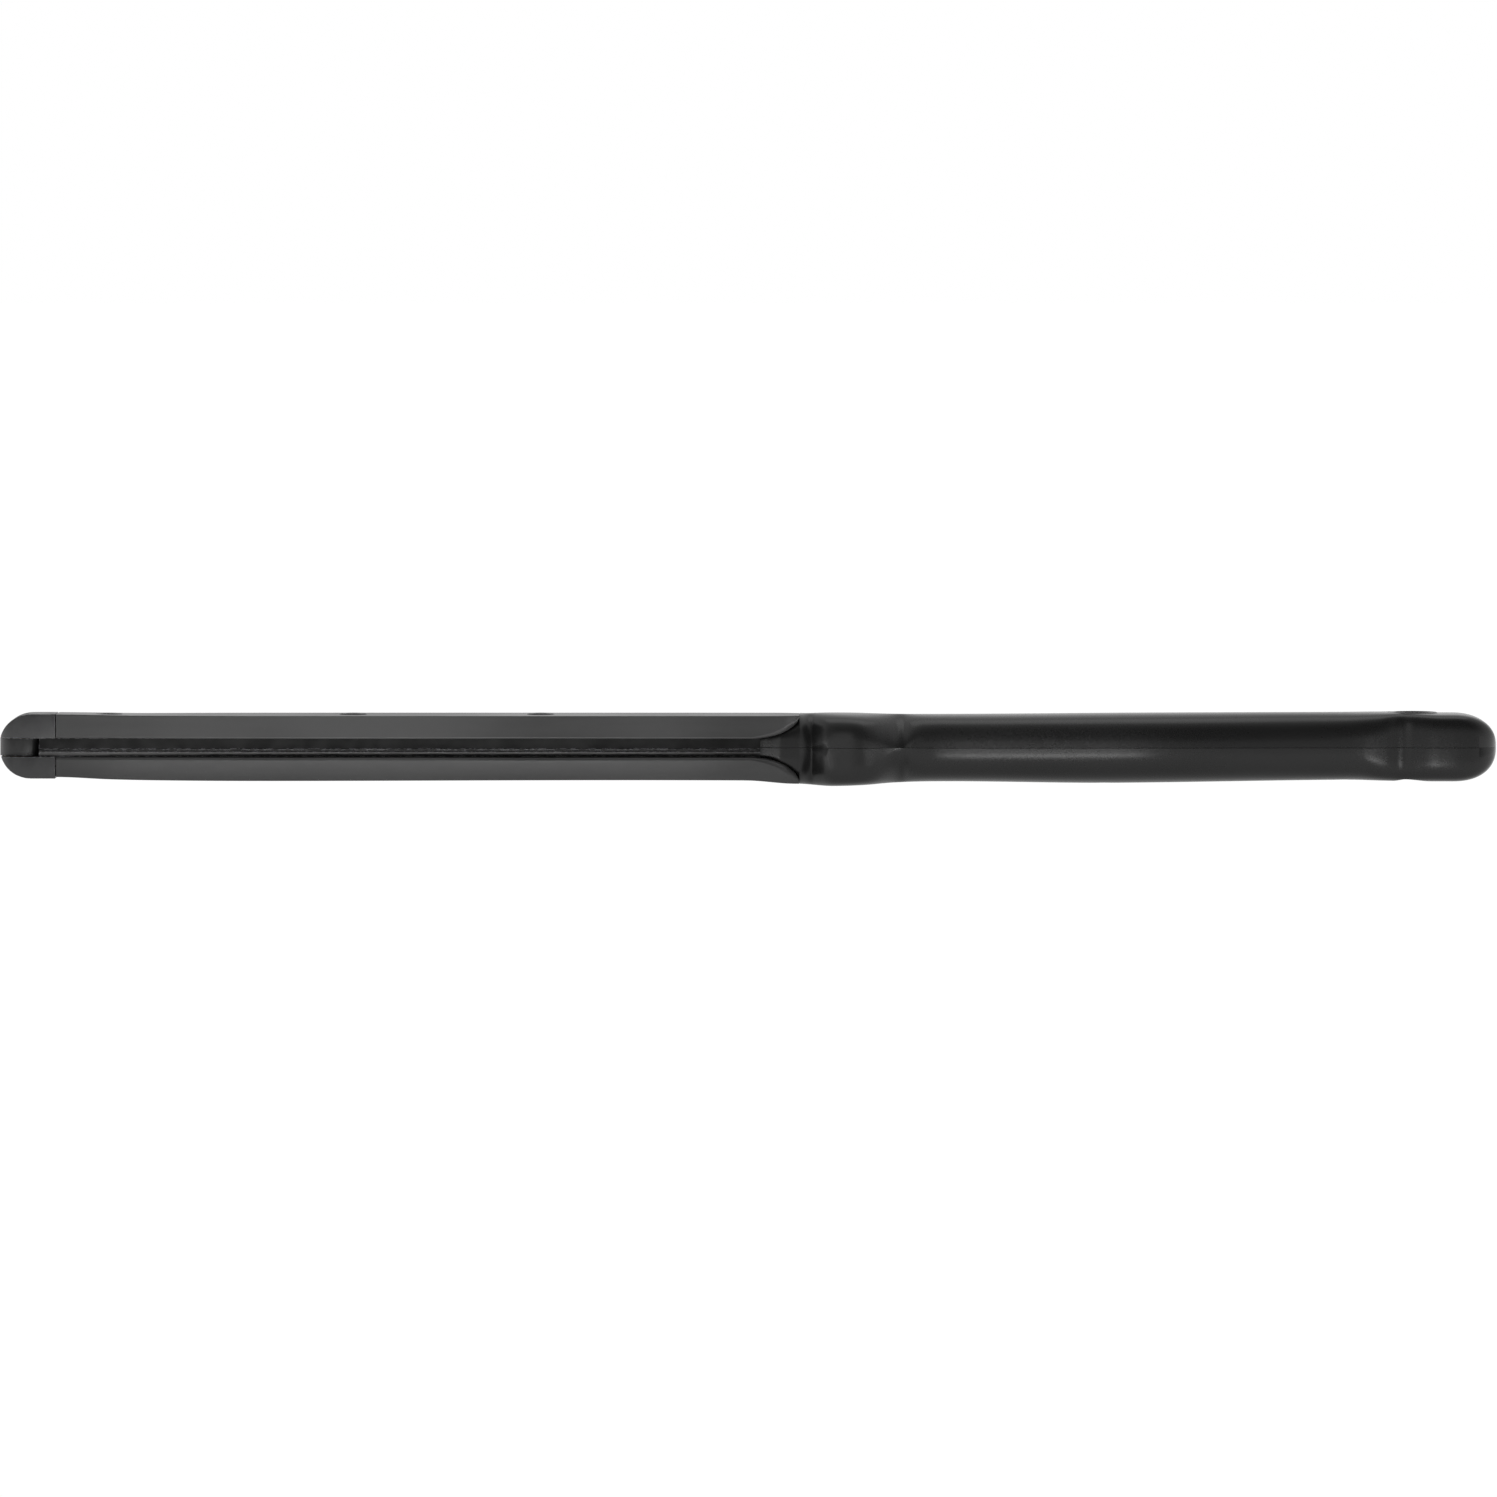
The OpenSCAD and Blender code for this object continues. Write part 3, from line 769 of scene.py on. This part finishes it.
def coil(name, node, body, wire_r, turns, axis):
    """Round-wire spring that fills the node's box along its axis."""
    low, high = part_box(node)
    lengthwise = {"X": 0, "Z": 2}[axis]
    length = (high[lengthwise] - low[lengthwise]) / MM - 2 * wire_r
    radius = (high.y - low.y) / 2 / MM - wire_r
    centre = middle(node)
    steps, sides = 28, 12
    rings = []
    for i in range(turns * steps + 1):
        a = 2 * math.pi * i / steps
        out = (math.cos(a), math.sin(a))
        rise = length * (i / (turns * steps) - 0.5)
        ring = []
        for k in range(sides):
            b = 2 * math.pi * k / sides
            r = radius + wire_r * math.cos(b)
            up = rise + wire_r * math.sin(b)
            y, z = r * out[0], r * out[1]
            offset = (up, y, z) if axis == "X" else (y, z, up)
            ring.append(centre + Vector(offset))
        rings.append(ring)
    piece = skin(name, rings)
    done(piece, PLATED_STEEL, body, node, sharp=60)
    return piece


def lock_screw():
    piece = copy_of("pin_lock_screw", "pin_lock_screw_eased")
    ease_edges(piece, 0.12, 40, 2)
    done(piece, BLACK_STEEL, "handle", "pin_lock_screw")


# ---- fasteners ----

def hexagon(radius, low, high, centres):
    """Hexagons to cut with, radius to the corners."""
    return drill(radius, low, high, centres, sides=6)


def cover_screws():
    """Low domed heads with a hexagon socket."""
    low, top = heights("cover_screws")
    shank = 2.45
    profile = [(0, low), (shank - 0.4, low), (shank, low + 0.4), (shank, SCREW_SEAT)]
    profile += [(HEAD_R - 0.15, SCREW_SEAT), (HEAD_R, SCREW_SEAT + 0.15)]
    for k in range(8):
        a = math.radians(90 * k / 7)
        profile.append((HEAD_R - 0.8 + 0.8 * math.cos(a), top - 0.5 + 0.5 * math.sin(a)))
    profile.append((0, top))
    centres = [(x, 0, 0) for x in COVER_SCREWS]
    piece = turned("cover_screws_domed", profile, centres)
    carve(piece, hexagon(3.75, top - 1.6, top + 2, centres))
    ease_edges(piece, 0.12, 40, 2)
    done(piece, BLACK_STEEL, "handle", "cover_screws")


def sleeve_nuts():
    """Sleeve nuts with a flat head, a blind bore and a hexagon socket below."""
    low, high = heights("cover_sleeve_nuts")
    bore = 2.5
    profile = [
        (0, low), (HEAD_R - 0.3, low), (HEAD_R, low + 0.3), (HEAD_R, NUT_SEAT - 0.2),
        (HEAD_R - 0.2, NUT_SEAT), (SLEEVE_R, NUT_SEAT), (SLEEVE_R, high - 0.2),
        (SLEEVE_R - 0.2, high), (bore + 0.25, high), (bore, high - 0.3), (bore, NUT_BORE_END),
        (0, NUT_BORE_END),
    ]
    centres = [(x, 0, 0) for x in COVER_SCREWS]
    piece = turned("sleeve_nuts_turned", profile, centres)
    carve(piece, hexagon(2.6, low - 1, low + 1.4, centres))
    ease_edges(piece, 0.1, 40, 2)
    done(piece, BLACK_STEEL, "handle", "cover_sleeve_nuts")


def grip_screws():
    piece = copy_of("grip_screws", "grip_screws_eased")
    ease_edges(piece, 0.2, 40, 2)
    done(piece, BLACK_STEEL, "handle", "grip_screws")


def grip_inserts():
    """Knurled brass inserts: two knurled bands with a groove between them."""
    low, high = heights("grip_inserts")
    groove_low, groove_high = low + (high - low) * 0.42, low + (high - low) * 0.58
    bore, knurl, teeth = 2.05, 0.16, 36
    profile = [
        (bore, low), (INSERT_R - 0.4, low), (INSERT_R, low + 0.3), (INSERT_R, groove_low),
        (INSERT_R - 0.5, groove_low + 0.1), (INSERT_R - 0.5, groove_high - 0.1),
        (INSERT_R, groove_high), (INSERT_R, high - 0.3), (INSERT_R - 0.4, high), (bore, high),
    ]
    centres = [(x, 0, 0) for x in GRIP_SCREWS]
    piece = turned("grip_inserts_knurled", profile, centres, sides=2 * teeth)
    for vertex in piece.data.vertices:
        x = (vertex.co.x - NOSE_X) / MM
        y = (vertex.co.y - AXIS_Y) / MM
        near = min(GRIP_SCREWS, key=lambda screw: abs(screw - x))
        reach = math.hypot(x - near, y)
        if reach > INSERT_R - 0.1:
            tooth = math.atan2(y, x - near) / (2 * math.pi) * teeth
            dip = 1 - knurl / INSERT_R * (round(tooth * 2) % 2)
            vertex.co.x = NOSE_X + (near + (x - near) * dip) * MM
            vertex.co.y = AXIS_Y + y * dip * MM
    done(piece, BRONZE, "handle", "grip_inserts")


def plugs():
    """Rubber plugs, dished and with a rounded rim."""
    bm = bmesh.new()
    for x in GRIP_SCREWS:
        mouth = -along(GRIP_LOWER, x - VALLEY) + 0.5
        profile = [
            (0, mouth + 0.35), (PLUG_R - 1.4, mouth + 0.3), (PLUG_R - 0.8, mouth + 0.05),
            (PLUG_R - 0.3, mouth), (PLUG_R, mouth + 0.3), (PLUG_R, mouth + 2), (0, mouth + 2),
        ]
        turn(bm, profile, (x, 0, 0))
    piece = new_object("screw_hole_plugs_dished", bm)
    ease_edges(piece, 0.15, 30, 3)
    done(piece, PLUG_RUBBER, "handle", "screw_hole_plugs")


def eyelet():
    """Tube with a flange whose rim and mouth are rolled over."""
    low, high = heights("hang_eyelet")
    under = high - EYELET_THICK
    rim_roll, mouth_roll = 0.5, 0.3
    profile = [
        (EYELET_BORE, low + 0.3), (EYELET_BORE + 0.3, low), (EYELET_TUBE, low),
        (EYELET_TUBE, under), (EYELET_FLANGE - 0.1, under),
    ]
    quarter = [math.radians(90 * k / 6) for k in range(7)]
    for a in quarter:
        across = EYELET_FLANGE - rim_roll + rim_roll * math.cos(a)
        profile.append((across, high - rim_roll + rim_roll * math.sin(a)))
    for a in quarter:
        across = EYELET_BORE + mouth_roll - mouth_roll * math.sin(a)
        profile.append((across, high - mouth_roll + mouth_roll * math.cos(a)))
    centre = Vector((HANG_X, 0, 0))
    done(turned("hang_eyelet_rolled", profile, [centre]), BLACK_STEEL, "handle", "hang_eyelet")


def eyelet_washer():
    """Ring that the eyelet's tube is closed on."""
    low, high = heights("eyelet_washer")
    rim = EYELET_FLANGE
    profile = [
        (WASHER_BORE, low + 0.1), (WASHER_BORE + 0.1, low), (rim - 0.3, low), (rim, low + 0.3),
        (rim, high), (WASHER_BORE, high),
    ]
    centre = Vector((HANG_X, 0, 0))
    done(turned("eyelet_washer_turned", profile, [centre]), BLACK_STEEL, "handle", "eyelet_washer")


core_bar()
core_flank("core_flank_front", -1)
core_flank("core_flank_back", 1)
drive_head()
pin()
lock_screw()
thrust_washer("upper_thrust_washer")
thrust_washer("lower_thrust_washer")
ball("tension_ball_ground", "tension_ball", "handle")
coil("tension_spring_wound", "tension_spring", "handle", 0.4, 6, "X")
ball("detent_ball_ground", "detent_ball", "detent")
detent_coil = coil("detent_spring_wound", "detent_spring", "head", 0.25, 5, "Z")
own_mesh(detent_coil)
cover("upper_cover_moulded", "upper_shank_cover", 1)
cover("lower_cover_moulded", "lower_shank_cover", -1)
cover_screws()
sleeve_nuts()
grip_half("upper_grip_moulded", "upper_grip_half", 1)
grip_half("lower_grip_moulded", "lower_grip_half", -1)
grip_screws()
grip_inserts()
plugs()
eyelet()
eyelet_washer()


# ---- floor, light and camera ----

def floor():
    """Pale sheet just under the bar, which the camera sees as white paper."""
    recipe = Recipe("pale_floor")
    grain = recipe.noise(300)
    recipe.feed(recipe.shader.inputs["Roughness"], recipe.remap(grain, 0.2, 0.8, 0.75, 0.9))
    recipe.shader.inputs["Base Color"].default_value = (0.6, 0.6, 0.6, 1)
    recipe.shader.inputs["Specular IOR Level"].default_value = 0.1
    recipe.shader.inputs["Emission Color"].default_value = (1, 1, 1, 1)
    recipe.shader.inputs["Emission Strength"].default_value = 0.65
    paper = recipe.node("ShaderNodeEmission")
    paper.inputs["Strength"].default_value = 1.02
    seen = recipe.node("ShaderNodeLightPath")
    mix = recipe.node("ShaderNodeMixShader")
    recipe.feed(mix.inputs["Fac"], seen.outputs["Is Camera Ray"])
    recipe.feed(mix.inputs[1], recipe.shader.outputs["BSDF"])
    recipe.feed(mix.inputs[2], paper.outputs["Emission"])
    recipe.feed(recipe.tree.nodes["Material Output"].inputs["Surface"], mix.outputs["Shader"])
    bm = bmesh.new()
    reach, drop = 20, 0.2 * MM
    corners = [(-reach, -reach), (reach, -reach), (reach, reach), (-reach, reach)]
    bm.faces.new([bm.verts.new((x, y, cad_low.z - drop)) for x, y in corners])
    sheet = new_object("floor", bm)
    sheet.data.materials.append(recipe.material)


def world():
    """White all round, dimmer in front of the bar so that its long sides read dark."""
    sky = bpy.data.worlds.new("studio")
    bpy.context.scene.world = sky
    sky.use_nodes = True
    tree = sky.node_tree
    background = tree.nodes["Background"]
    background.inputs["Color"].default_value = (1, 1, 1, 1)
    direction = tree.nodes.new("ShaderNodeTexCoord")
    split = tree.nodes.new("ShaderNodeSeparateXYZ")
    dim = tree.nodes.new("ShaderNodeMapRange")
    dim.interpolation_type = "SMOOTHSTEP"
    dim.inputs["From Min"].default_value = -0.85
    dim.inputs["From Max"].default_value = 0.05
    dim.inputs["To Min"].default_value = 0.1
    dim.inputs["To Max"].default_value = 1.0
    tree.links.new(direction.outputs["Generated"], split.inputs["Vector"])
    tree.links.new(split.outputs["Y"], dim.inputs["Value"])
    tree.links.new(dim.outputs["Result"], background.inputs["Strength"])


def soft_light(name, at, aim, width, depth, power, spread_angle=180):
    """Rectangular lamp at one place, aimed at another; sizes in metres, power in watts."""
    lamp = bpy.data.lights.new(name, "AREA")
    lamp.shape = "RECTANGLE"
    lamp.size = width
    lamp.size_y = depth
    lamp.energy = power
    lamp.spread = math.radians(spread_angle)
    holder = bpy.data.objects.new(name, lamp)
    bpy.context.scene.collection.objects.link(holder)
    holder.location = at
    holder.rotation_euler = (Vector(aim) - Vector(at)).to_track_quat("-Z", "Y").to_euler()


def camera():
    """Long lens, square on to the bar's side and a little above it."""
    lens = 300
    rise = math.radians(2.6)
    half_view = 0.5005 * (cad_high.x - cad_low.x)
    data = bpy.data.cameras.new("camera")
    data.lens = lens
    data.clip_end = 100
    holder = bpy.data.objects.new("camera", data)
    bpy.context.scene.collection.objects.link(holder)
    bpy.context.scene.camera = holder
    target = Vector(((cad_low.x + cad_high.x) / 2 + 0.0002, AXIS_Y, -0.00086))
    back = Vector((0, -math.cos(rise), math.sin(rise)))
    holder.location = target + back * half_view / (data.sensor_width / 2 / lens)
    holder.rotation_euler = (-back).to_track_quat("-Z", "Y").to_euler()


floor()
world()
centre_x = (cad_low.x + cad_high.x) / 2

# Strips that lie face up on the floor in front of the bar: name, place, length, power, spread.
strip_y, strip_depth = AXIS_Y - 0.072, 0.03
for name, x, width, power, angle in [
    ("shank_strip", 0.15, 0.26, 0.15, 180),
    ("grip_strip", 0.415, 0.09, 0.15, 164),
    ("end_strip", 0.567, 0.03, 0.026, 180),
]:
    foot, above = (x, strip_y, cad_low.z), (x, strip_y, cad_high.z)
    soft_light(name, foot, above, width, strip_depth, power, angle)

# A window to the left of the camera, and a broad lamp over the bar.
soft_light("left_window", (-0.34, -1.02, 0.05), (0.334, AXIS_Y, 0), 0.4, 0.6, 0.8)
soft_light("overhead", (centre_x, 0.1, 1.1), (centre_x, AXIS_Y, 0), 1.4, 0.6, 3)
camera()
bpy.context.scene.view_settings.view_transform = "Standard"
